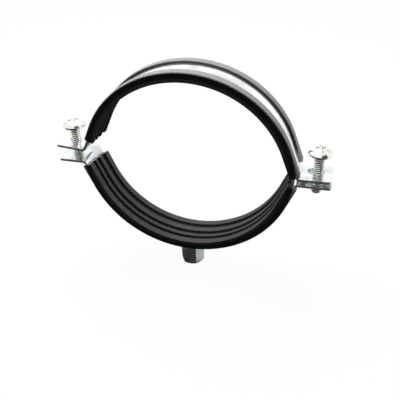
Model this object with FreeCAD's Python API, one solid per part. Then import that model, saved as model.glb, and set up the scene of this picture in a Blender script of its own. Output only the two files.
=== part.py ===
# Rubber lined two screw pipe clamp: two strap halves, two rubber linings, two screws, one nut.
# Units are millimetres. +X runs along the ears, +Y along the pipe, +Z up.
# The origin is the mouth of the connection nut, on its thread axis.
import FreeCAD, Part
import math
import os

from FreeCAD import Placement, Rotation, Vector

# Rubber profile
bore_radius = 57.0
rib_height = 1.6
lining_floor = 1.15
lining_fit = 0.05
side_wall = 1.35
lip_thickness = 1.15
lip_width = 5.3
lip_chamfer = 0.5
rib_draft = 0.3
rib_widths = (2.2, 3.3)
groove_widths = (2.7, 3.2, 4.0)

# Strap halves
strap_width = 20.8
strap_thickness = 1.5
strap_tangent_angle = 23.0
bend_radius = 1.5
ear_setback = 7.8
ear_end_reach = 8.4
ear_corner_radius = 2.2
upper_ear_rise = 3.0
lower_ear_rise = 0.0

# Clamping screws, their thread collars and their holes
screw_standoff = 11.0
screw_shift = 1.3
screw_radius = 3.0
screw_length = 24.0
screw_tip_chamfer = 0.8
head_radius = 6.6
head_height = 4.2
head_rim_height = 1.0
recess_width = 1.4
recess_span = 7.0
recess_depth = 2.8
recess_foot = 2.0
slot_depth = 2.2
left_screw_grip = 17.5
right_screw_grip = 14.8
left_slot_turn = -53.0
right_slot_turn = -72.0
thread_fit = 0.05
collar_wall = 1.3
collar_height = 2.2
hole_clearance = 0.5
ear_slot_length = 9.7

# Connection nut
nut_across_flats = 13.0
nut_hex_height = 16.3
nut_chamfer_height = 0.9
nut_face_inset = 0.2
nut_neck_radius = 6.0
nut_neck_height = 1.6
rod_thread_radius = 3.4
rod_thread_depth = 16.0

# How the halves stand: the empty clamp is closed past round, a little higher at the left
closing = 10.9
upper_shift = 0.6
upper_cant = 2.0
lining_end_gap = 0.3
lower_lining_bare_left = 2.0
upper_lining_bare_left = 4.8
left_end_slant = 8.0

# Worked out from the values above
groove_radius = bore_radius + rib_height
pad_radius = groove_radius + lining_floor
strap_inner = pad_radius + lining_fit
strap_outer = strap_inner + strap_thickness
lip_inner = strap_outer + lining_fit
lip_outer = lip_inner + lip_thickness
screw_offset = strap_outer + screw_standoff
pocket_half = strap_width / 2 + lining_fit
lining_half = pocket_half + side_wall
edge_land = lining_half - (sum(rib_widths) + sum(groove_widths)) / 2
lower_centre = Vector(0, 0, nut_hex_height + nut_neck_height + strap_outer)
upper_centre = lower_centre + Vector(upper_shift, 0, -closing)
lower_place = Placement(lower_centre, Rotation(Vector(0, 1, 0), 180))
upper_place = Placement(upper_centre, Rotation(Vector(0, 1, 0), upper_cant))
lower_ear_top = lower_centre.z - ear_setback
Y_AXIS = Vector(0, 1, 0)
Z_AXIS = Vector(0, 0, 1)


def arc_edge(start, middle, end):
    return Part.Arc(start, middle, end).toShape()


def line_edge(start, end):
    return Part.LineSegment(start, end).toShape()


def flipped(point):
    return Vector(-point.x, point.y, point.z)


def unit(vector):
    return vector * (1 / vector.Length)


def placed(shape, place):
    shape = shape.copy()
    shape.transformShape(place.toMatrix())
    return shape


class EarCorner:
    """The right end of a strap half, arch upwards: arc, straight run, bend and ear, all tangent.

    `seat_x` is where a screw belongs in the ear, and `rise` tilts the ear, in degrees.
    Each point is on the strap face that lies `offset` outside the face next to the pipe.
    """

    def __init__(self, seat_x, rise):
        angle = math.radians(strap_tangent_angle)
        tilt = math.radians(rise)
        self.normal = Vector(math.cos(angle), 0, math.sin(angle))
        self.run = Vector(math.sin(angle), 0, -math.cos(angle))
        self.along = Vector(math.cos(tilt), 0, math.sin(tilt))
        self.up = Vector(-math.sin(tilt), 0, math.cos(tilt))
        self.seat = Vector(seat_x, 0, ear_setback)
        strap_reach = strap_outer + bend_radius
        ear_reach = self.seat.dot(self.up) + strap_thickness + bend_radius
        spread = self.normal.dot(self.up)
        normal_share = (strap_reach - ear_reach * spread) / (1 - spread ** 2)
        up_share = (ear_reach - strap_reach * spread) / (1 - spread ** 2)
        self.centre = self.normal * normal_share + self.up * up_share

    def arc_end(self, offset):
        return self.normal * (strap_inner + offset)

    def bend_point(self, direction, offset):
        return self.centre - direction * (bend_radius + strap_thickness - offset)

    def bend_start(self, offset):
        return self.bend_point(self.normal, offset)

    def bend_middle(self, offset):
        return self.bend_point(unit(self.normal + self.up), offset)

    def bend_end(self, offset):
        return self.bend_point(self.up, offset)

    def tip(self, offset):
        return self.seat + self.along * ear_end_reach + self.up * offset

    def run_length(self):
        return (self.bend_start(0) - self.arc_end(0)).Length

    def end_edges(self, offset, turn):
        """Straight run, bend and ear, each point passed through `turn`."""
        points = [
            self.arc_end(offset),
            self.bend_start(offset),
            self.bend_middle(offset),
            self.bend_end(offset),
            self.tip(offset),
        ]
        start, bend_start, bend_middle, bend_end, tip = [turn(p) for p in points]
        return [
            line_edge(start, bend_start),
            arc_edge(bend_start, bend_middle, bend_end),
            line_edge(bend_end, tip),
        ]


# The ends of both halves, right then left, as each half is built: the lower one is then turned over
lower_ends = (
    EarCorner(screw_offset - screw_shift, lower_ear_rise),
    EarCorner(screw_offset + screw_shift, lower_ear_rise),
)
upper_ends = (
    EarCorner(screw_offset, upper_ear_rise),
    EarCorner(screw_offset, upper_ear_rise),
)


def strap_line(ends, offset):
    """Edges of one face of the strap, from ear tip to ear tip."""
    right, left = ends
    crown = Vector(0, 0, strap_inner + offset)
    arch = arc_edge(right.arc_end(offset), crown, flipped(left.arc_end(offset)))
    return right.end_edges(offset, Vector) + [arch] + left.end_edges(offset, flipped)


def rounded_plate(x_low, x_high, half_width, radius, z_low, z_high):
    """A block with its four upright corners rounded."""
    corner = Vector(x_low, -half_width, z_low)
    block = Part.makeBox(x_high - x_low, 2 * half_width, z_high - z_low, corner)
    upright = [e for e in block.Edges if abs(e.tangentAt(e.FirstParameter).z) > 0.9]
    return block.makeFillet(radius, upright)


def strap_blank(ends):
    """The bent strip, with the corners of its ears rounded in plan."""
    right, left = ends
    caps = [
        line_edge(right.tip(0), right.tip(strap_thickness)),
        line_edge(flipped(left.tip(0)), flipped(left.tip(strap_thickness))),
    ]
    edges = strap_line(ends, 0) + strap_line(ends, strap_thickness) + caps
    outline = Part.Wire(Part.__sortEdges__(edges))
    strip = Part.Face(outline).extrude(Y_AXIS * strap_width)
    strip.translate(Y_AXIS * (-strap_width / 2))
    plan = rounded_plate(
        -left.tip(0).x, right.tip(0).x, strap_width / 2, ear_corner_radius, -strap_outer, 2 * strap_outer
    )
    return strip.common(plan)


def screw_crossing(place, corner, side):
    """Where a screw's axis crosses the middle of an ear, and the ear's outward normal."""
    up = Vector(side * corner.up.x, 0, corner.up.z)
    middle = Vector(side * corner.seat.x, 0, corner.seat.z) + up * (strap_thickness / 2)
    axis_x = screw_shift + math.copysign(screw_offset, place.multVec(middle).x)
    own = place.inverse()
    start = own.multVec(Vector(axis_x, 0, 0))
    heading = own.multVec(Vector(axis_x, 0, 1)) - start
    travel = (middle - start).dot(up) / heading.dot(up)
    return start + heading * travel, up


def stadium(length, radius, depth):
    """A round ended bar along X, centred on the origin."""
    straight = length - 2 * radius
    bar = Part.makeBox(straight, 2 * radius, depth, Vector(-straight / 2, -radius, -depth / 2))
    for side in (-1, 1):
        end = Vector(side * straight / 2, 0, -depth / 2)
        bar = bar.fuse(Part.makeCylinder(radius, depth, end, Z_AXIS))
    return bar.removeSplitter()


def make_lower_strap():
    """Each ear has a thread collar drawn out of the sheet, on the side away from the other half."""
    strap = strap_blank(lower_ends)
    thread_radius = screw_radius + thread_fit
    reach = strap_thickness / 2 + collar_height
    for corner, side in zip(lower_ends, (1, -1)):
        point, up = screw_crossing(lower_place, corner, side)
        collar = Part.makeCylinder(thread_radius + collar_wall, reach, point, up)
        drill = Part.makeCylinder(thread_radius, 3 * reach, point - up * (1.5 * reach), up)
        strap = strap.fuse(collar).cut(drill)
    return placed(strap.removeSplitter(), lower_place)


def make_upper_strap():
    """A round hole in the left ear, and a slot that runs inwards from the screw in the right one."""
    right, left = upper_ends
    hole_radius = screw_radius + hole_clearance
    depth = 4 * strap_thickness
    point, up = screw_crossing(upper_place, left, -1)
    hole = Part.makeCylinder(hole_radius, depth, point - up * (depth / 2), up)
    point, up = screw_crossing(upper_place, right, 1)
    slot = stadium(ear_slot_length, hole_radius, depth)
    slot_middle = point - right.along * (ear_slot_length / 2 - hole_radius)
    slot.Placement = Placement(slot_middle, Rotation(Z_AXIS, up))
    strap = strap_blank(upper_ends).cut(hole).cut(slot)
    return placed(strap.removeSplitter(), upper_place)


def rib_points():
    """The face next to the pipe, from front to back: edge land, grooves and ribs, edge land."""
    points = []
    front = -lining_half + edge_land
    for groove, rib in zip(groove_widths, rib_widths + (edge_land,)):
        back = front + groove
        points += [
            (bore_radius, front),
            (groove_radius, front + rib_draft),
            (groove_radius, back - rib_draft),
            (bore_radius, back),
        ]
        front = back + rib
    return points


def lining_section():
    """Lips on the outside of the strap, a wall round each edge, ribs on the inside."""
    lip_edge = lining_half - lip_width
    back = [
        (bore_radius, lining_half),
        (lip_outer - lip_chamfer, lining_half),
        (lip_outer, lining_half - lip_chamfer),
        (lip_outer, lip_edge),
        (lip_inner, lip_edge),
        (lip_inner, pocket_half),
        (pad_radius, pocket_half),
    ]
    front = [(radius, -across) for radius, across in reversed(back)]
    points = [Vector(radius, across, 0) for radius, across in back + front + rib_points()]
    return Part.Face(Part.makePolygon(points + points[:1]))


def lining_run(end, bare, slant):
    """The profile along a right end's straight run, cut off `bare` short of the bend.

    A cut with a slant leaves more bare at the back than at the front.
    """
    section = lining_section()
    section.rotate(Vector(), Y_AXIS, -strap_tangent_angle)
    run = section.extrude(end.run * end.run_length())
    size = 2 * strap_width
    block = Part.makeBox(size, size, size, Vector(-size / 2, -size / 2, 0))
    facing = Rotation(end.normal, slant).multVec(end.run)
    cut_middle = end.arc_end(0) + end.run * (end.run_length() - bare)
    block.Placement = Placement(cut_middle, Rotation(Z_AXIS, facing))
    return run.cut(block)


def make_lining(place, ends, bares, slants):
    """The profile follows the strap's arc and both straight runs, less what it leaves bare."""
    section = lining_section()
    section.rotate(Vector(), Y_AXIS, -strap_tangent_angle)
    lining = section.revolve(Vector(), Y_AXIS * -1, 180 - 2 * strap_tangent_angle)
    right_run, left_run = [lining_run(*values) for values in zip(ends, bares, slants)]
    left_run = left_run.mirror(Vector(), Vector(1, 0, 0))
    return placed(lining.fuse([right_run, left_run]).removeSplitter(), place)


def make_lower_lining():
    """Turned over, its own right end is the one that stands at the left."""
    bares = (lower_lining_bare_left, lining_end_gap)
    return make_lining(lower_place, lower_ends, bares, (left_end_slant, 0))


def make_upper_lining():
    bares = (lining_end_gap, upper_lining_bare_left)
    return make_lining(upper_place, upper_ends, bares, (0, -left_end_slant))


def screw_outline():
    """Half section of a screw: chamfered tip, shank, flat seat, rim and domed top."""
    dome_rise = head_height - head_rim_height
    dome_radius = (head_radius ** 2 + dome_rise ** 2) / (2 * dome_rise)
    half_way = head_radius / 2
    half_way_drop = dome_radius - math.sqrt(dome_radius ** 2 - half_way ** 2)
    rim = Vector(head_radius, 0, head_rim_height)
    crown = Vector(0, 0, head_height)
    corners = [
        crown,
        Vector(0, 0, -screw_length),
        Vector(screw_radius - screw_tip_chamfer, 0, -screw_length),
        Vector(screw_radius, 0, screw_tip_chamfer - screw_length),
        Vector(screw_radius, 0, 0),
        Vector(head_radius, 0, 0),
        rim,
    ]
    edges = [line_edge(a, b) for a, b in zip(corners, corners[1:])]
    edges.append(arc_edge(rim, Vector(half_way, 0, head_height - half_way_drop), crown))
    return Part.Wire(edges)


def head_recess():
    """A cross whose wings narrow towards their foot, and a slot right across the head."""
    foot_height = head_height - recess_depth
    corners = [
        Vector(-recess_span / 2, 0, head_height),
        Vector(recess_span / 2, 0, head_height),
        Vector(recess_foot / 2, 0, foot_height),
        Vector(-recess_foot / 2, 0, foot_height),
    ]
    wing = Part.Face(Part.makePolygon(corners + corners[:1])).extrude(Y_AXIS * recess_width)
    wing.translate(Y_AXIS * (-recess_width / 2))
    slot_corner = Vector(-head_radius, -recess_width / 2, head_height - slot_depth)
    slot = Part.makeBox(2 * head_radius, recess_width, slot_depth, slot_corner)
    return wing.fuse([placed(wing, Placement(Vector(), Rotation(Z_AXIS, 90))), slot])


def make_screw(side, grip, slot_turn):
    body = Part.Face(screw_outline()).revolve(Vector(), Z_AXIS, 360)
    screw = body.cut(head_recess()).removeSplitter()
    seat = Vector(screw_shift + side * screw_offset, 0, lower_ear_top + grip)
    return placed(screw, Placement(seat, Rotation(Z_AXIS, slot_turn)))


def nut_prism():
    corner_radius = nut_across_flats / math.sqrt(3)
    corners = [
        Vector(corner_radius * math.cos(k * math.pi / 3), corner_radius * math.sin(k * math.pi / 3), 0)
        for k in range(7)
    ]
    prism = Part.Face(Part.makePolygon(corners)).extrude(Z_AXIS * nut_hex_height)
    face_radius = nut_across_flats / 2 - nut_face_inset
    profile = [
        Vector(0, 0, 0),
        Vector(face_radius, 0, 0),
        Vector(corner_radius, 0, nut_chamfer_height),
        Vector(corner_radius, 0, nut_hex_height - nut_chamfer_height),
        Vector(face_radius, 0, nut_hex_height),
        Vector(0, 0, nut_hex_height),
        Vector(0, 0, 0),
    ]
    return prism.common(Part.Face(Part.makePolygon(profile)).revolve(Vector(), Z_AXIS, 360))


def make_connection_nut():
    """The neck is welded to the round of the lower strap, so its top is hollowed to match."""
    neck = Part.makeCylinder(
        nut_neck_radius, 2 * nut_neck_height, Vector(0, 0, nut_hex_height), Z_AXIS
    )
    front = lower_centre - Y_AXIS * nut_across_flats
    strap_round = Part.makeCylinder(strap_outer, 2 * nut_across_flats, front, Y_AXIS)
    thread = Part.makeCylinder(rod_thread_radius, rod_thread_depth)
    return nut_prism().fuse(neck).cut(strap_round).cut(thread).removeSplitter()


parts = {
    "lower_strap": make_lower_strap(),
    "lower_lining": make_lower_lining(),
    "connection_nut": make_connection_nut(),
    "upper_strap": make_upper_strap(),
    "upper_lining": make_upper_lining(),
    "left_screw": make_screw(-1, left_screw_grip, left_slot_turn),
    "right_screw": make_screw(1, right_screw_grip, right_slot_turn),
}

os.makedirs("parts", exist_ok=True)
for name, shape in parts.items():
    shape.exportStep(f"parts/{name}.step")
    print(name, shape.ShapeType, len(shape.Solids), shape.isValid(), round(shape.Volume, 1))
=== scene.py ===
import math

import bmesh
import bpy
from mathutils import Matrix, Vector

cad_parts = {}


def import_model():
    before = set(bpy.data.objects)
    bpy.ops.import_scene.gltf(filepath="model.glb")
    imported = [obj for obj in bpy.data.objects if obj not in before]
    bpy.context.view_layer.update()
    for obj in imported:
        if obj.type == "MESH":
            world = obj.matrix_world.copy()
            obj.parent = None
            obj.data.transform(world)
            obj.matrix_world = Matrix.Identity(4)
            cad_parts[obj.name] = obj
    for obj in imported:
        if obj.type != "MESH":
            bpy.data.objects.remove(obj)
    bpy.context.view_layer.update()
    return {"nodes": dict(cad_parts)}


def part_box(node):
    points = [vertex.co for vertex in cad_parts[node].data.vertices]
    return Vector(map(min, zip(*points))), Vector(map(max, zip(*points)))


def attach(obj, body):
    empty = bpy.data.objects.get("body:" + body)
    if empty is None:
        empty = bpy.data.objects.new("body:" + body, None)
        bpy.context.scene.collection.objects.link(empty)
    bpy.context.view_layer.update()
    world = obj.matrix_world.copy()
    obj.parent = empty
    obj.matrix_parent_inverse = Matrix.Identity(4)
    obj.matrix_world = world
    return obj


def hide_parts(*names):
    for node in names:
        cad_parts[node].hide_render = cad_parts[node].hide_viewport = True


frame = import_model()

MM = 0.001

# Photograph: camera round the ring, in degrees, millimetres and pixels
PHOTO_SIZE_PX = 400
VIEW_AZIMUTH = 14.876
VIEW_ELEVATION = 33.748
VIEW_ROLL = -1.341
VIEW_DISTANCE = 319.2 * MM
VIEW_TARGET = Vector((5.56, 0, 46.45)) * MM
FOCAL_LENGTH_PX = 522.8
SENSOR_WIDTH_MM = 36.0
CAMERA_NEAR = 10 * MM
CAMERA_FAR = 20.0

# Threads of the clamping screws and of the rod hole
SCREW_RADIUS = 3.0 * MM
SCREW_PITCH = 1.25 * MM
SCREW_THREAD_DEPTH = 0.62 * MM
SCREW_TIP_CHAMFER = 0.8 * MM
ROD_THREAD_RADIUS = 3.4 * MM
ROD_THREAD_PITCH = 1.25 * MM
ROD_THREAD_DEPTH = 0.6 * MM
ROD_THREAD_LENGTH = 16.0 * MM
THREAD_SIDES = 48
THREAD_ROWS_PER_TURN = 12
CREST_SHARE = 0.2
ROOT_SHARE = 0.25

# Slack in telling where a vertex lies, and how steep a face must be to be part of a wall
SAME_PLACE = 0.02 * MM
WALL_NORMAL_Z = 0.5

# Noise textures: the range that they mostly keep to, and their detail
NOISE_LOW = 0.3
NOISE_HIGH = 0.7
BLOTCH_DETAIL = 3.0
DRAWN_DETAIL = 2.0

# Relief of every surface, and rays that soften its edges
RELIEF_DEPTH = 0.05 * MM
EDGE_SAMPLES = 6

# Zinc plate: blotches from dark through middle to pale, and fine lines drawn along it
STRAP_FINISH = dict(
    pale=(0.95, 0.97, 0.95), middle=(0.92, 0.94, 0.935), dark=(0.70, 0.72, 0.76),
    rough=(0.08, 0.14), blotch_scale=60.0, edge_radius=0.15 * MM, metallic=0.85,
)
NUT_FINISH = dict(
    pale=(0.60, 0.63, 0.64), middle=(0.53, 0.56, 0.58), dark=(0.42, 0.46, 0.50),
    rough=(0.32, 0.44), blotch_scale=160.0, edge_radius=0.08 * MM, metallic=0.7,
)
SCREW_FINISH = dict(
    pale=(0.94, 0.95, 0.92), middle=(0.88, 0.90, 0.86), dark=(0.74, 0.77, 0.70),
    rough=(0.08, 0.15), blotch_scale=200.0, edge_radius=0.04 * MM, metallic=0.8,
)
ZINC_DARK_AT = 0.34
ZINC_MIDDLE_AT = 0.48
ZINC_PALE_AT = 0.68
ZINC_DRAWN_STRETCH = (1, 14, 1)
ZINC_DRAWN_SCALE = 900.0
ZINC_RELIEF = 0.06

# Painted shade in the roots of the screws' thread, from the root up to a share of the thread's depth
ROOT_SHADE_SHARE = 0.5
ROOT_SHADE_DARK = (0.03, 0.034, 0.026)
ROOT_SHADE_PALE = (0.09, 0.10, 0.08)

# Rubber: black, with a painted sheen of pale colour on the outer lips, measured from the middle of each
# half's arc
UPPER_CENTRE = Vector((0.6, 0, 68.3)) * MM
LOWER_CENTRE = Vector((0, 0, 79.2)) * MM
RUBBER_DARK = (0.005, 0.005, 0.005)
RUBBER_PALE = (0.009, 0.009, 0.009)
RUBBER_PALE_AT = 0.75
RUBBER_SPECULAR = 0.65
RUBBER_DRAWN_STRETCH = (0.2, 1, 0.2)
RUBBER_DRAWN_SCALE = 1500.0
RUBBER_RELIEF = 0.15
RUBBER_EDGE_RADIUS = 0.2 * MM
DUST_SCALE = 260.0
SHEEN_PAINT_DARK = (0.49, 0.487, 0.468)
SHEEN_PAINT_PALE = (0.57, 0.566, 0.544)
SHEEN_PAINT_FROM = 61.9 * MM
SHEEN_PAINT_TO = 62.4 * MM

# Inside and outside the rubber is matt, and its front and back are glossier
MATT_FROM = 58.8 * MM
MATT_TO = 59.2 * MM
MATT_ROUGH = (0.50, 0.62)
SIDE_ROUGH = (0.18, 0.26)

# Fine moulded line along each edge land, by its distance from the middle of the strap
SCORE_BLACK = (0.004, 0.004, 0.004)
SCORE_MIDDLE = 9.75 * MM
SCORE_HALF = 0.35 * MM

# Floor: it glows by itself, so that it is white with a faint shadow
FLOOR_HALF_SIZE = 3.0
FLOOR_DROP = 0.5 * MM
FLOOR_OWN_LIGHT = 0.95
FLOOR_SHADE = 0.09

# Dark card on the floor in front, which only gloss picks up, with a pale patch for the nut's right flat
CARD_MIDDLE_X = -0.03
CARD_HALF_WIDTH = 0.20
CARD_SLOPE = 1.8
CARD_FROM = 0.26
CARD_TO = 0.34
CARD_LEVEL = 0.01
PATCH_MIDDLE = (0.024, 0.003, -FLOOR_DROP)
PATCH_FROM = 0.012
PATCH_TO = 0.024
PATCH_LEVEL = 1.0

# Surround: dim low in front, bright above and behind, with a dark flag at the upper right in front
SURROUND_FRONT = 0.32
SURROUND_BACK = 1.15
SURROUND_TILT = 1.2
SURROUND_FROM = -0.85
SURROUND_TO = -0.15
FLAG_HEADING = (0.56, -0.40, 0.725)
FLAG_FROM = 0.90
FLAG_TO = 0.94
FLAG_LEVEL = 0.04
SOFT_SHARE = 0.15

# Lamp above
LAMP_PLACE = Vector((-0.22, 0.22, 0.85))
LAMP_TARGET = Vector((0, 0, 0.07))
LAMP_SIZE = (0.70, 0.50)
LAMP_POWER = 4.8


# Meshes and threads

def build_mesh(name, vertices, faces):
    mesh = bpy.data.meshes.new(name)
    mesh.from_pydata(vertices, [], faces)
    mesh.update()
    mesh.shade_smooth()
    obj = bpy.data.objects.new(name, mesh)
    bpy.context.scene.collection.objects.link(obj)
    return obj


def thread_height(phase):
    """Height of a thread's flank above its root, from 0 to 1, at a phase counted in turns."""
    away = abs(phase - round(phase)) * 2
    flank = 1 - CREST_SHARE - ROOT_SHARE
    return min(1, max(0, (1 - ROOT_SHARE - away) / flank))


def thread_tube(centre, low, high, pitch, radius_at):
    """Rows of vertices round a vertical axis, with faces between them.

    radius_at(z, height) gives the radius where the thread stands at that height.
    """
    rows = round((high - low) / pitch * THREAD_ROWS_PER_TURN)
    vertices = []
    for row in range(rows + 1):
        z = low + (high - low) * row / rows
        for side in range(THREAD_SIDES):
            turn = side / THREAD_SIDES
            radius = radius_at(z, thread_height(z / pitch - turn))
            angle = 2 * math.pi * turn
            vertices.append((centre.x + radius * math.cos(angle), centre.y + radius * math.sin(angle), z))
    faces = []
    for row in range(rows):
        for side in range(THREAD_SIDES):
            a = row * THREAD_SIDES + side
            b = row * THREAD_SIDES + (side + 1) % THREAD_SIDES
            faces.append((a, b, b + THREAD_SIDES, a + THREAD_SIDES))
    return vertices, faces


def copy_without(node, name, unwanted):
    """A copy of a CAD node as a new object, less its unwanted faces."""
    copy = bpy.data.objects.new(name, frame["nodes"][node].data.copy())
    bpy.context.scene.collection.objects.link(copy)
    shape = bmesh.new()
    shape.from_mesh(copy.data)
    shape.faces.ensure_lookup_table()
    shape.normal_update()
    gone = [face for face in shape.faces if unwanted(face)]
    bmesh.ops.delete(shape, geom=gone, context="FACES")
    shape.to_mesh(copy.data)
    shape.free()
    return copy


def join(first, second):
    bpy.ops.object.select_all(action="DESELECT")
    second.select_set(True)
    first.select_set(True)
    bpy.context.view_layer.objects.active = first
    bpy.ops.object.join()
    return first


def threaded_screw(node, name):
    """The screw's own head on a shank with its thread cut, and the thread's axis and seat."""
    low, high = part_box(node)
    centre = (low + high) / 2
    mesh = frame["nodes"][node].data
    wide = [v.co.z for v in mesh.vertices if (v.co.xy - centre.xy).length > 2 * SCREW_RADIUS]
    seat = min(wide)
    tip = low.z

    def on_shank(face):
        return all(
            (v.co.xy - centre.xy).length < SCREW_RADIUS + SAME_PLACE and v.co.z < seat + SAME_PLACE
            for v in face.verts
        )

    def radius_at(z, height):
        cone = SCREW_RADIUS - SCREW_TIP_CHAMFER + (z - tip)
        return min(cone, SCREW_RADIUS - SCREW_THREAD_DEPTH * (1 - height))

    vertices, faces = thread_tube(centre, tip, seat, SCREW_PITCH, radius_at)
    faces.append(tuple(reversed(range(THREAD_SIDES))))
    head = copy_without(node, name, on_shank)
    return join(head, build_mesh(name + "_thread", vertices, faces)), ((centre.x, centre.y, 0), seat)


def threaded_nut():
    """The connection nut with the rod's thread cut in its hole."""
    def on_wall(face):
        steep = abs(face.normal.z) < WALL_NORMAL_Z
        return steep and all(v.co.xy.length < ROD_THREAD_RADIUS + SAME_PLACE for v in face.verts)

    def radius_at(z, height):
        inner = min(z, ROD_THREAD_LENGTH - z)
        return ROD_THREAD_RADIUS + min(inner, ROD_THREAD_DEPTH * height)

    vertices, faces = thread_tube(Vector(), 0, ROD_THREAD_LENGTH, ROD_THREAD_PITCH, radius_at)
    faces = [tuple(reversed(face)) for face in faces]
    body = copy_without("connection_nut", "threaded_nut", on_wall)
    return join(body, build_mesh("nut_thread", vertices, faces))


# Material nodes

def new_material(name):
    material = bpy.data.materials.new(name)
    material.use_nodes = True
    tree = material.node_tree
    return material, tree, tree.nodes["Principled BSDF"]


def add_node(tree, kind, **values):
    """A node whose sockets and settings are given by name."""
    node = tree.nodes.new(kind)
    for key, value in values.items():
        if key in node.inputs:
            node.inputs[key].default_value = value
        else:
            setattr(node, key, value)
    return node


def feed(tree, value, socket):
    """Links another node's output to a socket, or writes a plain value there."""
    if isinstance(value, bpy.types.NodeSocket):
        tree.links.new(value, socket)
    else:
        socket.default_value = value


def arithmetic(tree, kind, *values):
    node = add_node(tree, "ShaderNodeMath", operation=kind)
    for value, socket in zip(values, node.inputs):
        feed(tree, value, socket)
    return node.outputs["Value"]


def vector_arithmetic(tree, kind, *values):
    """A node, since some kinds of vector arithmetic give a vector and others a number."""
    node = add_node(tree, "ShaderNodeVectorMath", operation=kind)
    for value, socket in zip(values, node.inputs):
        feed(tree, value, socket)
    return node


def mixed(tree, share, first, second, data_type="FLOAT"):
    """The first value where the share is 0, the second where it is 1."""
    node = add_node(tree, "ShaderNodeMix", data_type=data_type)
    feed(tree, share, node.inputs["Factor"])
    feed(tree, first, node.inputs["A"])
    feed(tree, second, node.inputs["B"])
    return node.outputs["Result"]


def ease(tree, value, low, high, start=0.0, end=1.0, kind="LINEAR"):
    """Start below low, end above high and a rise or fall between them."""
    node = add_node(tree, "ShaderNodeMapRange", interpolation_type=kind, **{
        "From Min": low, "From Max": high, "To Min": start, "To Max": end,
    })
    tree.links.new(value, node.inputs["Value"])
    return node.outputs["Result"]


def object_points(tree, scale=(1, 1, 1)):
    """Object coordinates, stretched so that a pattern runs along one way."""
    points = add_node(tree, "ShaderNodeTexCoord")
    mapping = add_node(tree, "ShaderNodeMapping", Scale=scale)
    tree.links.new(points.outputs["Object"], mapping.inputs["Vector"])
    return mapping.outputs["Vector"]


def noise(tree, points, scale, detail):
    node = add_node(tree, "ShaderNodeTexNoise", Scale=scale, Detail=detail)
    tree.links.new(points, node.inputs["Vector"])
    return node.outputs["Fac"]


def ramp(tree, value, *stops):
    """A colour ramp through (place, colour) stops."""
    node = add_node(tree, "ShaderNodeValToRGB")
    elements = node.color_ramp.elements
    while len(elements) < len(stops):
        elements.new(1.0)
    for element, (place, colour) in zip(elements, stops):
        element.position = place
        element.color = (*colour, 1)
    tree.links.new(value, node.inputs["Fac"])
    return node.outputs["Color"]


def spread(tree, value, ends):
    """Maps a noise value to a range."""
    return ease(tree, value, NOISE_LOW, NOISE_HIGH, *ends)


def distance_from(tree, keep, centre):
    """How far a point lies from a centre, counting only the axes that are kept."""
    points = add_node(tree, "ShaderNodeTexCoord")
    kept = vector_arithmetic(tree, "MULTIPLY", points.outputs["Object"], keep)
    return vector_arithmetic(tree, "DISTANCE", kept.outputs["Vector"], centre).outputs["Value"]


def bump(tree, value, strength, edge_radius):
    """Surface relief over edges softened by edge_radius."""
    soft = add_node(tree, "ShaderNodeBevel", Radius=edge_radius, samples=EDGE_SAMPLES)
    node = add_node(tree, "ShaderNodeBump", Strength=strength, Distance=RELIEF_DEPTH)
    tree.links.new(value, node.inputs["Height"])
    tree.links.new(soft.outputs["Normal"], node.inputs["Normal"])
    return node.outputs["Normal"]


# Materials

def thread_root_shade(tree, blotches, colour, axis, seat):
    """A zinc colour with painted shade in the roots of a thread below its seat."""
    painted_root_shade = ramp(tree, blotches, (NOISE_LOW, ROOT_SHADE_DARK), (NOISE_HIGH, ROOT_SHADE_PALE))
    from_axis = distance_from(tree, (1, 1, 0), axis)
    above = distance_from(tree, (0, 0, 1), (0, 0, 0))
    root = SCREW_RADIUS - SCREW_THREAD_DEPTH
    crest = ease(tree, from_axis, root, root + ROOT_SHADE_SHARE * SCREW_THREAD_DEPTH)
    on_head = ease(tree, above, seat - SAME_PLACE, seat + SAME_PLACE)
    unshaded = arithmetic(tree, "MAXIMUM", crest, on_head)
    return mixed(tree, unshaded, painted_root_shade, colour, "RGBA")


def zinc(name, pale, middle, dark, rough, blotch_scale, edge_radius, metallic, thread=None):
    """Zinc plate: soft blotches of tint, fine drawn lines and uneven gloss.

    A thread is given by its axis and seat, and gets painted shade in its roots.
    """
    material, tree, shader = new_material(name)
    blotches = noise(tree, object_points(tree), blotch_scale, BLOTCH_DETAIL)
    drawn = noise(tree, object_points(tree, ZINC_DRAWN_STRETCH), ZINC_DRAWN_SCALE, DRAWN_DETAIL)
    colour = ramp(tree, blotches, (ZINC_DARK_AT, dark), (ZINC_MIDDLE_AT, middle), (ZINC_PALE_AT, pale))
    if thread:
        # Painted shade: darker colour in the thread's roots
        colour = thread_root_shade(tree, blotches, colour, *thread)
    shader.inputs["Metallic"].default_value = metallic
    tree.links.new(colour, shader.inputs["Base Color"])
    tree.links.new(spread(tree, blotches, rough), shader.inputs["Roughness"])
    tree.links.new(bump(tree, drawn, ZINC_RELIEF, edge_radius), shader.inputs["Normal"])
    return material


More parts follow.
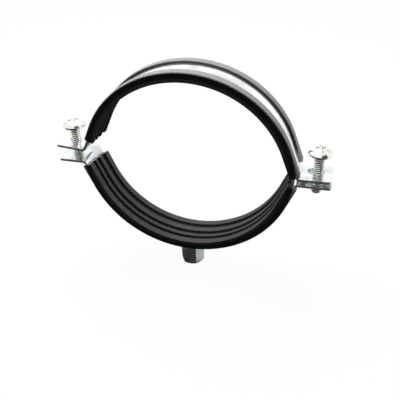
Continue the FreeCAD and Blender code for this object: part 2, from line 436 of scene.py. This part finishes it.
def lining_rubber(name, centre):
    """Black extruded rubber with drawn lines, round a centre.

    Its outer lips, far from the centre, carry a painted sheen, pale colour in place of their gloss. A fine
    moulded line runs along each edge land, next to the pipe.
    """
    material, tree, shader = new_material(name)
    dust = noise(tree, object_points(tree), DUST_SCALE, BLOTCH_DETAIL)
    drawn = noise(tree, object_points(tree, RUBBER_DRAWN_STRETCH), RUBBER_DRAWN_SCALE, DRAWN_DETAIL)
    black = ramp(tree, dust, (NOISE_LOW, RUBBER_DARK), (RUBBER_PALE_AT, RUBBER_PALE))
    # Painted sheen: pale colour on the outer lips in place of the gloss they catch from above
    painted_sheen = ramp(tree, dust, (NOISE_LOW, SHEEN_PAINT_DARK), (NOISE_HIGH, SHEEN_PAINT_PALE))
    from_middle = distance_from(tree, (1, 0, 1), centre)
    outside = ease(tree, from_middle, SHEEN_PAINT_FROM, SHEEN_PAINT_TO)
    inside = ease(tree, from_middle, MATT_FROM, MATT_TO, 1.0, 0.0)
    across = distance_from(tree, (0, 1, 0), (0, 0, 0))
    from_score = arithmetic(tree, "ABSOLUTE", arithmetic(tree, "SUBTRACT", across, SCORE_MIDDLE))
    unscored = ease(tree, from_score, SCORE_HALF / 2, SCORE_HALF)
    scored_black = mixed(tree, unscored, (*SCORE_BLACK, 1), black, "RGBA")
    tree.links.new(mixed(tree, outside, scored_black, painted_sheen, "RGBA"), shader.inputs["Base Color"])
    matt = arithmetic(tree, "MAXIMUM", inside, outside)
    rough = mixed(tree, matt, spread(tree, dust, SIDE_ROUGH), spread(tree, dust, MATT_ROUGH))
    tree.links.new(rough, shader.inputs["Roughness"])
    shader.inputs["Specular IOR Level"].default_value = RUBBER_SPECULAR
    tree.links.new(bump(tree, drawn, RUBBER_RELIEF, RUBBER_EDGE_RADIUS), shader.inputs["Normal"])
    return material


def dress(obj, material):
    obj.data.materials.clear()
    obj.data.materials.append(material)


# Studio

def floor():
    """A pale floor that keeps a soft shadow. Gloss alone picks up the dark card and its pale patch."""
    signs = ((-1, -1), (1, -1), (1, 1), (-1, 1))
    corners = [(x * FLOOR_HALF_SIZE, y * FLOOR_HALF_SIZE, 0) for x, y in signs]
    plane = build_mesh("floor", corners, [(0, 1, 2, 3)])
    plane.location.z = -FLOOR_DROP
    material, tree, shader = new_material("pale_floor")
    shader.inputs["Base Color"].default_value = (FLOOR_SHADE, FLOOR_SHADE, FLOOR_SHADE, 1)
    shader.inputs["Roughness"].default_value = 1.0
    shader.inputs["Specular IOR Level"].default_value = 0.0
    shader.inputs["Emission Color"].default_value = (1, 1, 1, 1)
    path = add_node(tree, "ShaderNodeLightPath")
    points = add_node(tree, "ShaderNodeNewGeometry")
    split = add_node(tree, "ShaderNodeSeparateXYZ")
    tree.links.new(points.outputs["Position"], split.inputs["Vector"])
    aside = arithmetic(tree, "ABSOLUTE", arithmetic(tree, "SUBTRACT", split.outputs["X"], CARD_MIDDLE_X))
    near_card = arithmetic(tree, "MINIMUM", aside, CARD_HALF_WIDTH)
    reach = arithmetic(tree, "MULTIPLY_ADD", near_card, CARD_SLOPE, split.outputs["Y"])
    card = ease(tree, reach, CARD_FROM, CARD_TO, CARD_LEVEL, 1.0, "SMOOTHSTEP")
    away = vector_arithmetic(tree, "DISTANCE", points.outputs["Position"], PATCH_MIDDLE)
    patch = ease(tree, away.outputs["Value"], PATCH_FROM, PATCH_TO, PATCH_LEVEL, 0.0, "SMOOTHSTEP")
    gloss = arithmetic(tree, "MAXIMUM", card, patch)
    glossy = mixed(tree, path.outputs["Is Glossy Ray"], 0.0, gloss)
    seen = mixed(tree, path.outputs["Is Camera Ray"], glossy, FLOOR_OWN_LIGHT)
    tree.links.new(seen, shader.inputs["Emission Strength"])
    dress(plane, material)


def world():
    """A surround that is white where it is seen, and for gloss bright above and behind, dim in front.

    The dark flag gives the screws' heads their accents.
    """
    surround = bpy.data.worlds.new("surround")
    bpy.context.scene.world = surround
    surround.use_nodes = True
    tree = surround.node_tree
    background = tree.nodes["Background"]
    background.inputs["Color"].default_value = (1, 1, 1, 1)
    path = add_node(tree, "ShaderNodeLightPath")
    heading = add_node(tree, "ShaderNodeTexCoord")
    split = add_node(tree, "ShaderNodeSeparateXYZ")
    tree.links.new(heading.outputs["Generated"], split.inputs["Vector"])
    tilted = arithmetic(tree, "MULTIPLY_ADD", split.outputs["Z"], SURROUND_TILT, split.outputs["Y"])
    unflagged = ease(tree, tilted, SURROUND_FROM, SURROUND_TO, SURROUND_FRONT, SURROUND_BACK)
    towards = vector_arithmetic(tree, "DOT_PRODUCT", heading.outputs["Generated"], FLAG_HEADING)
    flag = ease(tree, towards.outputs["Value"], FLAG_FROM, FLAG_TO)
    level = mixed(tree, flag, unflagged, FLAG_LEVEL)
    soft = arithmetic(tree, "MULTIPLY", level, SOFT_SHARE)
    unseen = mixed(tree, path.outputs["Is Glossy Ray"], soft, level)
    strength = mixed(tree, path.outputs["Is Camera Ray"], unseen, 1.0)
    tree.links.new(strength, background.inputs["Strength"])


def softbox():
    data = bpy.data.lights.new("top_softbox", "AREA")
    data.shape = "RECTANGLE"
    data.size, data.size_y = LAMP_SIZE
    data.energy = LAMP_POWER
    lamp = bpy.data.objects.new("top_softbox", data)
    bpy.context.scene.collection.objects.link(lamp)
    lamp.location = LAMP_PLACE
    lamp.rotation_euler = (LAMP_TARGET - LAMP_PLACE).to_track_quat("-Z", "Y").to_euler()


def camera():
    azimuth = math.radians(VIEW_AZIMUTH)
    elevation = math.radians(VIEW_ELEVATION)
    back = Vector((
        math.sin(azimuth) * math.cos(elevation),
        -math.cos(azimuth) * math.cos(elevation),
        math.sin(elevation),
    ))
    level = Vector((math.cos(azimuth), math.sin(azimuth), 0))
    upright = back.cross(level)
    roll = Matrix.Rotation(math.radians(VIEW_ROLL), 3, back)
    right = roll @ level
    up = roll @ upright
    data = bpy.data.cameras.new("camera")
    data.sensor_width = SENSOR_WIDTH_MM
    data.lens = FOCAL_LENGTH_PX / PHOTO_SIZE_PX * SENSOR_WIDTH_MM
    data.clip_start = CAMERA_NEAR
    data.clip_end = CAMERA_FAR
    eye = bpy.data.objects.new("camera", data)
    bpy.context.scene.collection.objects.link(eye)
    turn = Matrix((right, up, back)).transposed()
    eye.matrix_world = Matrix.Translation(VIEW_TARGET + back * VIEW_DISTANCE) @ turn.to_4x4()
    bpy.context.scene.camera = eye


# Straps and linings
strap_zinc = zinc("strap_zinc", **STRAP_FINISH)
for strap in ("lower_strap", "upper_strap"):
    dress(frame["nodes"][strap], strap_zinc)
dress(frame["nodes"]["upper_lining"], lining_rubber("upper_rubber", UPPER_CENTRE))
dress(frame["nodes"]["lower_lining"], lining_rubber("lower_rubber", LOWER_CENTRE))

# Clamping screws
for side in ("left", "right"):
    screw, thread = threaded_screw(side + "_screw", side + "_threaded_screw")
    dress(screw, zinc(side + "_screw_zinc", thread=thread, **SCREW_FINISH))
    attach(screw, side + "_screw")
    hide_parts(side + "_screw")

# Connection nut
nut = threaded_nut()
dress(nut, zinc("nut_zinc", **NUT_FINISH))
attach(nut, "lower_half")
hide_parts("connection_nut")

# Floor, surround, lamp and camera
floor()
world()
softbox()
camera()
bpy.context.scene.view_settings.view_transform = "Standard"
